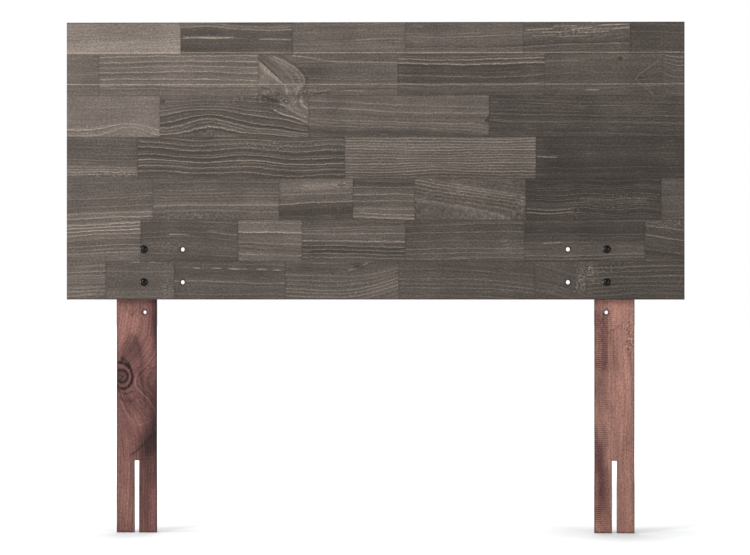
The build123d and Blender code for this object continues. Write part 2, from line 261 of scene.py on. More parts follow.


# The staves' figures, row by row from the top, left to right. Tones are how light each stave comes out, 0 to
# 1:
# its stain, together with a painted falloff of light, lighter towards the panel's left and darker towards its
# right.
# A streak is (place across the grain, strength, width); a band is (place, change of tone, width);
# a hump is (place along, width, lift, centre across, reach across); a knot is (along, across, radius,
# stretch). A dash is a streak between two places along: (start, end, across, strength, width). A mark is a
# drawn line: (points as (along, across), strength, width). A patch is (along, across, reach along, reach
# across, change of tone), and a scuff is the same with a strength. A peak is (across, run, bluntness) of a
# nest of arrowheads, and chatter is the saw's (reach, strength).
STAVE_FIGURES = {
    "stave_1_1": Figure(0.51, 7, 0.25, slope=-9, bands=[(60, 0.02, 16), (20, -0.01, 14)],
        streaks=[(58, 0.12, 3), (44, 0.1, 2)]),
    "stave_1_2": Figure(0.35, 10, 0.6, slope=2, humps=[(60, 60, 5, 10, 16)],
        bands=[(56, -0.035, 9), (12, 0.03, 9)], streaks=[(9, 0.4, 1.8), (15, 0.35, 2.4), (23, -0.3, 4)],
        dashes=[(8, 118, 34, 0.75, 1.5), (175, 246, 38, 0.5, 1.8)]),
    "stave_1_3": Figure(0.4, 13, 0.35, slope=-4, dashes=[(140, 245, 40, 0.3, 1.6)], bands=[(26, 0.015, 9)]),
    "stave_1_4": Figure(0.39, 15, 0.45, bow=-2, slope=-2, bands=[(56, -0.03, 6), (38, 0.012, 9)],
        streaks=[(31, 0.5, 1.3), (54, -0.6, 1.6), (57.5, 0.4, 1.3)]),
    "stave_1_5": Figure(0.35, 7, 0.7, slope=-9, bands=[(14, 0.03, 12)],
        streaks=[(20, 0.25, 1.4), (47, -0.8, 1.4), (51, 0.3, 1.4), (62, 0.2, 1.4)],
        dashes=[
            (8, 62, 13, 0.7, 1.2), (40, 92, 21, 0.6, 1.2), (66, 118, 7, 0.6, 1.2), (104, 150, 15, 0.65, 1.3),
            (150, 200, 4, 0.7, 1.2), (168, 234, 11, 0.7, 1.2), (20, 70, 28, 0.45, 1.2),
            (120, 190, 25, 0.5, 1.2), (198, 236, 20, 0.4, 1.2), (80, 140, 33, 0.3, 1.2),
        ], scuffs=[(120, 22, 110, 16, 0.4)]),
    "stave_1_6": Figure(0.32, 14, 0.25, slope=6, streaks=[(24, 0.26, 1.3), (5, 0.16, 2)]),
    "stave_2_1": Figure(0.4, 12, 0.3, streaks=[(34, -0.1, 3)]),
    "stave_2_2": Figure(0.42, 12, 0.4, bow=1.5,
        streaks=[
            (5.5, 0.55, 1.5), (17.5, 0.6, 1.4), (22, -0.2, 3), (29.5, 0.5, 1.4), (41.5, 0.6, 1.5),
            (46, -0.2, 3), (57.5, 0.65, 1.5), (71, 0.35, 2.4), (34, 0.2, 1.2),
        ], bands=[(83, -0.02, 9), (64, 0.02, 4)]),
    "stave_2_3": Figure(0.38, 11, 0.4, humps=[(-12, 46, 52, 40, 70)], bands=[(40, -0.01, 22)],
        patches=[
            (56, 44, 38, 30, 0.05), (12, 52, 18, 24, 0.08), (128, 42, 26, 24, -0.04), (75, 78, 16, 16, 0.05),
            (70, 8, 30, 8, 0.03),
        ],
        marks=[
            ([(1, 17), (27, 40), (52, 61), (61, 72), (64, 88)], 0.5, 1.7),
            ([(0, 22), (24, 44), (46, 62)], 0.3, 3.4), ([(4, 13), (28, 36), (56, 63)], -1.0, 1.2),
            ([(34, 6), (60, 17), (80, 29), (95, 43), (103, 58), (98, 70), (87, 80), (84, 90)], 0.44, 1.6),
            ([(26, 8), (56, 22), (76, 36), (90, 50), (95, 64), (84, 80)], 0.22, 3.4),
            ([(45, 2), (72, 16), (92, 32), (107, 48), (109, 64), (100, 78)], -0.5, 2.0),
            ([(30, 22), (50, 40), (72, 62), (76, 84)], -0.22, 1.8),
            ([(46, 22), (66, 42), (82, 66)], 0.18, 1.6),
            ([(75, 3), (103, 6), (125, 10), (150, 15), (190, 18), (309, 19)], 0.45, 1.2),
            ([(122, 90), (150, 84), (200, 76), (309, 76)], -0.5, 1.8),
            ([(108, 86), (150, 80), (190, 80), (230, 82)], 0.3, 1.3),
            ([(96, 90), (120, 84), (160, 88)], -0.5, 1.6), ([(8, 74), (30, 80), (46, 88)], -0.7, 2.4),
            ([(24, 80), (38, 84)], 0.7, 2.2),
        ], streaks=[(56, 0.2, 1.6)], scuffs=[(20, 80, 36, 10, 0.4), (110, 82, 40, 8, 0.4)]),
    "stave_2_4": Figure(0.35, 14, 0.5, bow=-5, slope=-3,
        bands=[(33, -0.05, 8), (54, -0.035, 7), (82, -0.02, 8)],
        streaks=[
            (3, 0.4, 1.3), (9, 0.85, 1.5), (19, 1.0, 1.8), (24, -0.55, 2.4), (46, 0.4, 1.4), (40, -0.25, 3),
        ]),
    "stave_2_5": Figure(0.34, 16, 0.3, slope=-7, knots=[(168, 11, 5, 1.1)],
        bands=[(8, 0.01, 12), (88, -0.02, 3)], patches=[(232, 50, 22, 16, 0.02), (60, 20, 40, 14, 0.015)],
        marks=[
            ([(252, 16), (226, 34), (199, 54), (214, 66), (240, 90)], 0.22, 1.1),
            ([(249, 22), (222, 42), (207, 55), (222, 70), (250, 92)], -0.35, 1.6),
            ([(222, 66), (232, 74), (238, 88)], 0.45, 1.1), ([(210, 54), (226, 52)], -0.5, 1.3),
        ], dashes=[(0, 90, 15, 0.25, 1.4), (92, 120, 78, 0.8, 1.4)]),
    "stave_2_6": Figure(0.36, 11, 0.4, slope=9, bow=-3,
        streaks=[(5, 0.5, 1.5), (14, 0.55, 1.5), (22, 0.5, 1.5), (33, 0.4, 1.3), (48, 0.3, 1.4)]),
    "stave_3_1": Figure(0.45, 16, 0.12, humps=[(140, 44, 21, 80, 28)],
        streaks=[(76, 0.8, 1.3), (88, 0.3, 1.6)], bands=[(30, 0.01, 30)], scuffs=[(196, 84, 16, 8, 0.6)]),
    "stave_3_2": Figure(0.36, 10, 0.6, knots=[(4, 13, 6, 1.0)],
        humps=[(112, 78, 22, 52, 36), (350, 62, -26, 40, 60)], bands=[(70, -0.02, 20)],
        patches=[(302, 22, 26, 26, 0.08), (240, 12, 26, 14, -0.05), (326, 44, 16, 16, 0.04)],
        streaks=[
            (36, 0.5, 1.2), (47, 0.75, 1.2), (51, -0.5, 2.5), (64, 0.9, 1.2), (68, -0.5, 2.4), (74, 0.8, 1.2),
            (80, 0.5, 1.1), (86, 0.85, 1.2), (28, 0.25, 1.4),
        ],
        marks=[
            ([(254, 32), (277, 43), (299, 48), (317, 56), (328, 60)], 0.7, 1.4),
            ([(250, 36), (275, 48), (300, 53), (328, 66)], -0.6, 1.8),
            ([(315, 1), (313, 13), (318, 22), (329, 30)], 0.5, 1.4),
            ([(308, 1), (306, 14), (311, 28), (322, 36)], -0.45, 2.4),
            ([(322, 2), (321, 12), (329, 20)], -0.45, 1.6),
            ([(268, 14), (282, 26), (300, 36), (324, 47)], 0.3, 1.4),
            ([(262, 22), (280, 34), (302, 42)], -0.3, 1.4), ([(228, 2), (250, 8), (262, 14)], -0.7, 3.0),
        ], scuffs=[(286, 16, 40, 14, 0.5), (200, 8, 60, 8, 0.4)]),
    "stave_3_3": Figure(0.39, 14, 0.45, slope=15, knots=[(396, 52, 6, 1.2)],
        bands=[(86, -0.06, 5), (40, 0.015, 25)],
        streaks=[
            (20, 0.32, 1.4), (35, 0.42, 1.4), (59, 0.4, 1.4), (71, 0.25, 1.6), (80, -0.45, 3), (8, -0.3, 2),
            (47, -0.15, 2),
        ], scuffs=[(400, 52, 12, 16, 0.7)]),
    "stave_3_4": Figure(0.31, 8, 0.6, slope=8, bands=[(20, 0.01, 20)],
        streaks=[(44, 0.22, 1.2), (58, 0.28, 1.2), (36, 0.16, 1.2), (14, 0.14, 2.4), (72, 0.15, 1.2)]),
    "stave_4_1": Figure(0.38, 9, 0.5, slope=3, bands=[(24, -0.04, 18), (76, 0.05, 11)],
        streaks=[
            (36, 0.25, 1.3), (66, 0.35, 1.5), (72, 0.4, 1.4), (78, 0.45, 1.4), (84, 0.4, 1.3),
            (69, -0.25, 1.4), (87, -0.3, 1.4), (54, -0.15, 2),
        ], scuffs=[(110, 82, 90, 7, 0.5)]),
    "stave_4_2": Figure(0.34, 11, 0.8, slope=9, wave=(3.0, 210, 0.1), bands=[(14, 0.01, 12), (55, -0.02, 26)],
        streaks=[
            (28, 0.6, 1.5), (34, -0.45, 2.2), (44, 0.7, 1.5), (49, -0.5, 2), (56, 1.0, 1.6), (61, -0.6, 2),
            (69, 0.6, 1.6), (75, -0.4, 1.8), (81, 0.6, 1.4), (87, -0.3, 2), (17, 0.35, 1.8),
        ], scuffs=[(300, 20, 90, 12, 0.4)]),
    "stave_4_3": Figure(0.39, 6.2, 0.8, humps=[(205, 60, 4, 68, 16)], bands=[(18, 0.02, 14), (84, -0.03, 10)],
        streaks=[(4 + 6.1 * k, 0.5 - 0.12 * (k % 3), 1.2) for k in range(15)]),
    "stave_4_4": Figure(0.28, 15, 0.25, slope=-1, bands=[(66, -0.015, 14)],
        streaks=[(18, 0.16, 1.4), (43, 0.16, 1.3)], dashes=[(2, 46, 43, 0.6, 1.5)]),
    "stave_5_1": Figure(0.39, 14, 0.35, slope=-7, bands=[(16, -0.03, 15), (44, -0.012, 10), (82, 0.04, 10)],
        streaks=[(42, 0.45, 1.3), (62, 0.3, 1.3), (66, -0.2, 2), (77, 0.4, 1.4), (88, 0.6, 2)]),
    "stave_5_2": Figure(0.37, 13, 0.45, bow=1, bands=[(60, 0.055, 6), (12, -0.02, 12)],
        streaks=[
            (25, 0.32, 1.3), (41, 0.36, 1.3), (61, 0.25, 3), (75, 0.32, 1.4), (70, -0.25, 1.6),
            (82, -0.2, 1.6),
        ], scuffs=[(90, 82, 90, 9, 0.4)]),
    "stave_5_3": Figure(0.39, 15, 0.3, slope=-5, bands=[(16, 0.035, 12), (76, -0.095, 20)],
        streaks=[(34, 0.45, 1.3), (55, 0.75, 1.5), (6, -0.15, 3)], dashes=[(50, 130, 15, 0.2, 6)],
        scuffs=[(150, 14, 26, 8, 0.5), (110, 55, 20, 5, 0.4)]),
    "stave_5_4": Figure(0.38, 10, 0.5, slope=2, bands=[(12, -0.055, 8), (80, 0.03, 10)],
        streaks=[
            (20, 0.42, 1.4), (37, 0.5, 1.3), (51, 0.5, 1.3), (69, 0.5, 1.3), (80, 0.65, 1.6), (88, 0.7, 1.6),
            (5, -0.4, 2),
        ]),
    "stave_5_5": Figure(0.36, 12, 0.3, slope=20, peak=(82, 0.08, 18),
        bands=[(34, 0.03, 7), (48, -0.03, 8), (72, 0.03, 8)],
        streaks=[
            (34, 0.3, 1.6), (42, 0.25, 1.4), (50, 0.35, 1.3), (57, 0.5, 1.3), (64, 0.45, 1.3), (70, 0.5, 1.3),
            (76, 0.4, 1.3), (54, -0.3, 1.6), (67, -0.3, 1.4),
        ], dashes=[(30, 200, 38, -0.25, 1.4)], scuffs=[(236, 60, 14, 34, 0.5), (90, 34, 90, 14, 0.25)]),
    "stave_5_6": Figure(0.27, 7.5, 0.7, wave=(2.0, 130, 0.3), bands=[(10, -0.01, 10)],
        streaks=[
            (16, 0.25, 1.3), (24, 0.3, 1.3), (36, 0.32, 1.3), (47, 0.36, 1.2), (54, 0.25, 1.2),
            (61, 0.32, 1.2), (68, 0.36, 1.2), (84, 0.2, 1.3),
        ], dashes=[(2, 105, 71, 0.7, 1.3), (2, 105, 78, 0.5, 1.4), (120, 270, 50, 0.2, 4)],
        scuffs=[(110, 76, 9, 20, 0.5), (200, 50, 60, 20, 0.3)]),
    "stave_5_7": Figure(0.35, 16, 0.25, streaks=[(24, 0.12, 2)]),
    "stave_6_1": Figure(0.4, 12, 0.5, slope=-8, bow=1, bands=[(22, 0.04, 14), (56, -0.02, 12)],
        streaks=[
            (10, 0.75, 1.8), (17, 0.8, 1.5), (25, 0.8, 1.5), (34, 0.6, 1.5), (45, 0.3, 1.4), (59, 0.5, 1.4),
            (74, 0.45, 1.4), (29, -0.2, 1.6), (21, -0.2, 1.4),
        ]),
    "stave_6_2": Figure(0.33, 12, 0.45, slope=6, bow=4, bands=[(62, 0.03, 18), (20, -0.01, 16)],
        streaks=[(32, 0.22, 1.3), (45, -0.35, 1.6), (54, -0.15, 2)],
        dashes=[(62, 108, 39, 0.55, 1.5), (150, 214, 30, 0.3, 1.5)], scuffs=[(70, 56, 60, 12, 0.3)]),
    "stave_6_3": Figure(0.4, 17, 0.35, slope=3, bands=[(18, 0.02, 12), (64, -0.03, 10)],
        streaks=[(8, 0.3, 1.4), (29, 0.95, 1.5), (52, 0.45, 1.4), (77, 0.45, 1.4)]),
    "stave_6_4": Figure(0.36, 9, 0.6, slope=1, bands=[(66, -0.04, 16), (34, 0.03, 12)],
        streaks=[
            (17, 0.35, 1.4), (32, 0.35, 1.4), (48, 0.9, 1.5), (59, 0.55, 1.3), (68, 0.6, 1.2),
            (76, 0.55, 1.2), (84, 0.5, 1.3), (63, -0.35, 1.4), (72, -0.35, 1.4),
        ]),
    "stave_6_5": Figure(0.33, 15, 0.35, slope=-5, bow=1, bands=[(20, -0.02, 12), (66, 0.02, 16)],
        streaks=[
            (12, 0.35, 1.3), (29, 0.45, 1.4), (48, 0.25, 1.3), (64, 0.45, 1.3), (74, 0.42, 1.3),
            (86, 0.35, 1.3),
        ]),
    "stave_6_6": Figure(0.32, 9, 0.5, slope=-4, bands=[(24, -0.04, 22), (66, 0.045, 16)],
        streaks=[(46, -0.3, 2), (78, 0.4, 1.3), (85, 0.4, 1.3), (50, 0.15, 2)],
        dashes=[(42, 84, 51, 0.35, 2), (8, 60, 62, -0.15, 6)]),
    "stave_6_7": Figure(0.33, 11, 0.5, slope=12, bands=[(74, -0.03, 9)],
        streaks=[(20, 0.55, 1.5), (40, 0.55, 1.5), (10, 0.25, 1.8), (70, 0.35, 1.4), (73, -0.7, 2)],
        scuffs=[(60, 8, 60, 7, 0.5), (80, 72, 40, 6, 0.4)]),
    "stave_7_1": Figure(0.4, 9, 0.6, slope=-4,
        streaks=[
            (12, 0.35, 1.4), (24, 0.4, 1.4), (37, 0.35, 1.4), (47, 0.3, 1.4), (57, 0.38, 1.3),
            (66, 0.42, 1.3), (75, 0.4, 1.3), (50, -0.2, 1.3),
        ]),
    "stave_7_2": Figure(0.36, 14, 0.3, bands=[(36, -0.012, 20), (76, 0.035, 10)],
        streaks=[(68, 0.2, 1.4), (75, -0.2, 1.4)],
        dashes=[(60, 76, 3, 0.5, 1.5), (98, 112, 3, 0.5, 1.5), (118, 122, 4, 0.5, 1.5)],
        scuffs=[(136, 60, 12, 22, 0.5)]),
    "stave_7_3": Figure(0.35, 13, 0.35, slope=3, bands=[(30, -0.02, 8)],
        streaks=[(21, -0.35, 1.6), (46, 0.3, 1.3)],
        dashes=[
            (44, 56, 17, 0.8, 1.3), (84, 103, 17, 0.7, 1.3), (121, 147, 17, 0.8, 1.3),
            (152, 162, 17, 0.6, 1.3), (184, 203, 18, 0.85, 1.4), (221, 236, 18, 0.7, 1.3),
        ]),
    "stave_7_4": Figure(0.38, 9, 0.45, humps=[(300, 84, 36, 50, 60), (120, 60, -4, 60, 30)],
        knots=[(163, 12, 5, 2.4)], bands=[(14, -0.035, 11)],
        patches=[(225, 40, 40, 26, 0.025), (60, 16, 40, 12, -0.02)],
        streaks=[
            (41, 0.25, 1.3), (60, 0.4, 1.3), (68, 0.35, 1.3), (76, 0.4, 1.3), (84, 0.35, 1.3),
            (50, 0.25, 1.3), (30, 0.2, 1.2),
        ], marks=[([(140, 20), (160, 16), (182, 4)], 0.45, 1.4), ([(146, 8), (166, 3)], -0.5, 1.6)],
        scuffs=[(150, 62, 12, 24, 0.5)]),
    "stave_7_5": Figure(0.35, 16, 0.35, slope=14, bow=7, bands=[(20, -0.01, 14)],
        streaks=[(46, 0.36, 1.4), (66, 0.36, 1.4), (84, 0.25, 1.4)]),
    "stave_7_6": Figure(0.34, 15, 0.3, slope=34, bow=4, patches=[(104, 40, 9, 40, 0.05)],
        streaks=[(58, -0.6, 1.5), (62, 0.28, 1.5), (80, 0.15, 2)],
        scuffs=[(104, 42, 12, 30, 0.65), (88, 60, 12, 14, 0.35)]),
    "stave_7_7": Figure(0.31, 8, 0.6, slope=-5, bow=3, bands=[(46, 0.015, 26)],
        patches=[(14, 22, 14, 22, 0.04)],
        streaks=[
            (14, 0.35, 1.3), (24, 0.35, 1.3), (36, 0.4, 1.3), (48, 0.42, 1.3), (58, 0.32, 1.3),
            (30, -0.2, 1.4), (66, 0.25, 1.3),
        ], scuffs=[(7, 24, 12, 24, 0.7), (60, 20, 40, 20, 0.3)]),
}

LEG_FIGURES = {
    "leg_left": Figure(0.42, 7, 0.75, humps=[(338, 74, 60, 20, 70)], wave=(1.5, 310, 0.2),
        knots=[(348, 16, 14, 1.6)],
        patches=[
            (580, 60, 60, 22, -0.05), (404, 44, 34, 16, -0.06), (300, 62, 60, 24, -0.08),
            (360, 56, 40, 30, -0.03), (390, 22, 22, 16, -0.05), (252, 86, 90, 14, -0.19),
            (470, 86, 60, 11, -0.13), (196, 66, 38, 24, -0.15), (100, 66, 110, 20, -0.08),
            (282, 20, 46, 18, -0.08), (222, 20, 40, 18, -0.02), (470, 40, 50, 16, 0.02),
            (60, 14, 60, 16, 0.03), (500, 86, 90, 7, -0.1), (345, 4, 44, 5, -0.1), (498, 20, 44, 12, 0.03),
            (420, 33, 22, 12, -0.06),
        ],
        marks=[
            ([(386, 12), (416, 20), (443, 33), (424, 48), (386, 56), (330, 60)], -0.45, 5.0),
            ([(300, 8), (290, 30), (300, 46)], -0.5, 5.0),
            ([(300, 43), (272, 61), (251, 77), (226, 90)], 0.6, 1.5),
            ([(310, 4), (279, 14), (246, 34), (238, 52), (247, 72)], 0.45, 1.2),
            ([(172, 33), (184, 48), (203, 66), (224, 88)], -1.0, 1.6),
            ([(290, 50), (262, 68), (236, 86)], -0.7, 2.6), ([(360, 50), (320, 60), (280, 66)], -0.5, 3.0),
            ([(500, 20), (480, 34), (505, 52)], -0.3, 2.4),
            ([(327, 1), (319, 10), (322, 24), (334, 34), (351, 36), (367, 30), (377, 16), (379, 4)],
             -1.8, 2.8),
            ([(366, 30), (380, 24), (388, 12)], -0.9, 4.0),
            ([(332, 2), (326, 11), (329, 22), (341, 30), (354, 30), (366, 23), (371, 8)], 0.4, 1.5),
            ([(338, 3), (333, 14), (341, 24), (354, 25), (362, 15), (361, 4)], -1.6, 2.2),
            ([(318, 2), (311, 10), (308, 22), (314, 34)], -0.9, 1.8),
            ([(346, 10), (348, 16), (350, 19)], 0.5, 3.0), ([(340, 8), (348, 15), (352, 22)], -1.2, 1.0),
            ([(350, 6), (346, 16)], -0.9, 1.0),
        ], streaks=[(70, -0.3, 2.4), (95, 0.2, 2), (52, -0.3, 2), (118, -0.35, 3)]),
    "leg_right": Figure(0.505, 9, 0.4, slope=-8, wave=(1.6, 260, 0.6), bands=[(80, -0.03, 6), (44, 0.01, 12)],
        patches=[
            (400, 22, 70, 8, -0.12), (170, 10, 46, 12, -0.19), (90, 16, 50, 13, -0.16),
            (440, 70, 60, 22, 0.05), (390, 44, 50, 6, -0.06), (30, 60, 34, 14, -0.05),
            (330, 60, 90, 16, 0.02), (470, 10, 40, 14, -0.09), (480, 62, 40, 14, 0.03),
            (240, 44, 60, 8, -0.04),
        ], marks=[([(444, 28), (452, 44), (462, 56)], -0.6, 1.3)],
        scuffs=[
            (432, 77, 30, 9, 1.1), (456, 66, 16, 10, 0.8), (410, 76, 16, 7, 0.8), (476, 14, 26, 12, 0.5),
            (460, 44, 16, 14, 0.4),
        ], streaks=[(12, -0.15, 2), (33, 0.12, 2.2), (50, -0.15, 1.6), (68, 0.12, 2)], chatter=(32.0, 1.3)),
}


# ---------------------------------------------------------------- board meshes


def stations(low, high, step, extra=(), holes=()):
    """Even stations between two ends, with extra ones put in and a fine even block across each hole."""
    points = np.linspace(low, high, max(2, round((high - low) / step)) + 1)
    for centre, half in holes:
        points = points[np.abs(points - centre) > half + 0.2]
    for centre, half in holes:
        points = np.append(points, centre + np.linspace(-half, half, HOLE_CELLS + 1))
    for value in extra:
        points = points[np.abs(points - value) > 0.12]
    points = np.append(points, list(extra))
    ends = np.abs(points[:, None] - [low, high]).min(1) > 0.12
    return np.unique(np.round(np.append(points[ends], [low, high]), 4))


def hole_block(radius):
    """Half the width of the square of cells that is bent round a hole."""
    return HOLE_BLOCK * radius


def round_off(x, z, hole):
    """Bends the square block of lattice lines round a hole so that its open middle becomes a circle."""
    centre_x, centre_z, radius = hole
    half = hole_block(radius)
    dx, dz = x - centre_x, z - centre_z
    reach = np.maximum(np.abs(dx), np.abs(dz)) / half
    far = np.hypot(dx, dz) + 1e-9
    blend = np.clip((reach - HOLE_OPEN) / (1 - HOLE_OPEN), 0, 1)
    inside = reach < 1
    scale = (1 - blend) * radius / far + blend
    return np.where(inside, centre_x + dx * scale, x), np.where(inside, centre_z + dz * scale, z)


def solid_cells(xs, zs, holes, slots):
    """Which lattice cells are wood: all but those in a hole's open middle or in a slot."""
    x = (xs[:-1] + xs[1:])[:, None] / 2
    z = (zs[:-1] + zs[1:])[None, :] / 2
    solid = np.ones((len(xs) - 1, len(zs) - 1), bool)
    for centre_x, centre_z, radius in holes:
        reach = np.maximum(np.abs(x - centre_x), np.abs(z - centre_z))
        solid &= reach > HOLE_OPEN * hole_block(radius)
    for low_x, high_x, high_z in slots:
        solid &= ~((x > low_x) & (x < high_x) & (z < high_z))
    return solid


def lattice_faces(solid, depths):
    """Quads of the closed skin round the solid cells, as lattice numbers, with the kind of each: 0 front,
    1 back, 2 to 5 the outer walls and 6 to 9 the walls of holes and slots."""
    nx, nz = solid.shape[0] + 1, solid.shape[1] + 1

    def number(i, k, j):
        """The lattice number of a point."""
        return (i * nz + k) * depths + j

    quads, kinds = [], []

    def add(points, flip, kind):
        """Keeps a set of quads, turned over where asked."""
        quads.append(np.stack(points[::-1] if flip else points, 1))
        kinds.append(np.broadcast_to(kind, len(points[0])))

    i, k = np.nonzero(solid)
    for j, flip, kind in ((0, False, 0), (depths - 1, True, 1)):
        add([number(i, k, j), number(i + 1, k, j), number(i + 1, k + 1, j), number(i, k + 1, j)], flip, kind)
    padded = np.pad(solid, 1)
    for side, flip in ((0, False), (1, True)):
        before, after = padded[:-1, 1:-1], padded[1:, 1:-1]
        i, k = np.nonzero(before & ~after if side else after & ~before)
        outer = (i == 0) | (i == nx - 1)
        for j in range(depths - 1):
            wall = [number(i, k, j), number(i, k + 1, j), number(i, k + 1, j + 1), number(i, k, j + 1)]
            add(wall, flip, np.where(outer, 2 + side, 6 + side))
        before, after = padded[1:-1, :-1], padded[1:-1, 1:]
        i, k = np.nonzero(before & ~after if side else after & ~before)
        outer = (k == 0) | (k == nz - 1)
        for j in range(depths - 1):
            wall = [number(i, k, j), number(i, k, j + 1), number(i + 1, k, j + 1), number(i + 1, k, j)]
            add(wall, flip, np.where(outer, 4 + side, 8 + side))
    return np.concatenate(quads), np.concatenate(kinds)


def edge_drop(distance, radius):
    """How far a rounded edge has fallen away, a quarter circle within one radius of the edge."""
    inside = np.clip(radius - distance, 0, radius)
    return radius - np.sqrt(radius**2 - inside**2)


def mesh_from(name, points, quads, fans=np.zeros((0, 3), int), crease=35):
    """A smooth mesh from points in metres, quads and triangles. Edges over `crease` degrees stay hard."""
    mesh = bpy.data.meshes.new(name)
    mesh.vertices.add(len(points))
    mesh.vertices.foreach_set("co", points.astype(np.float32).ravel())
    mesh.loops.add(quads.size + fans.size)
    mesh.loops.foreach_set("vertex_index", np.concatenate([quads.ravel(), fans.ravel()]).astype(np.int32))
    mesh.polygons.add(len(quads) + len(fans))
    starts = np.concatenate([np.arange(0, quads.size, 4), quads.size + np.arange(0, fans.size, 3)])
    mesh.polygons.foreach_set("loop_start", starts.astype(np.int32))
    mesh.update(calc_edges=True)
    mesh.polygons.foreach_set("use_smooth", np.ones(len(starts), bool))
    mesh.set_sharp_from_angle(angle=math.radians(crease))
    mesh.validate()
    return mesh


def place_object(mesh, body, node, material):
    """Shows a mesh in place of a CAD node, riding on the node's body."""
    piece = bpy.data.objects.new(mesh.name, mesh)
    bpy.context.scene.collection.objects.link(piece)
    mesh.materials.append(material)
    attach(piece, body)
    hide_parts(node)
    return piece


def add_values(mesh, name, values):
    """Stores one number on each vertex."""
    layer = mesh.attributes.new(name, "FLOAT", "POINT")
    layer.data.foreach_set("value", values.astype(np.float32))


# Strips of the bake map, as low and high places across it: front, back, and one for each kind of wall
MAP_FRONT = (0.53, 0.995)
MAP_BACK = (0.27, 0.50)
MAP_WALLS = 0.25
MAP_WALL_SHARE = 0.8


def add_map(mesh, faces, kinds, along, across, depth):
    """A map that runs along the board in u, and stacks its faces in strips in v."""
    u = along[faces]
    v = np.empty(faces.shape)
    step = MAP_WALLS / 8
    front, back = kinds == 0, kinds == 1
    v[front] = MAP_FRONT[0] + (MAP_FRONT[1] - MAP_FRONT[0]) * across[faces[front]]
    v[back] = MAP_BACK[0] + (MAP_BACK[1] - MAP_BACK[0]) * across[faces[back]]
    walls = ~(front | back)
    v[walls] = (kinds[walls, None] - 2 + MAP_WALL_SHARE * depth[faces[walls]]) * step + 0.003
    flat = np.ptp(u, axis=1) < 1e-6
    u[walls & flat] = across[faces[walls & flat]]
    layer = mesh.uv_layers.new(name="OFBake")
    layer.uv.foreach_set("vector", np.stack([u, v], 2).astype(np.float32).ravel())


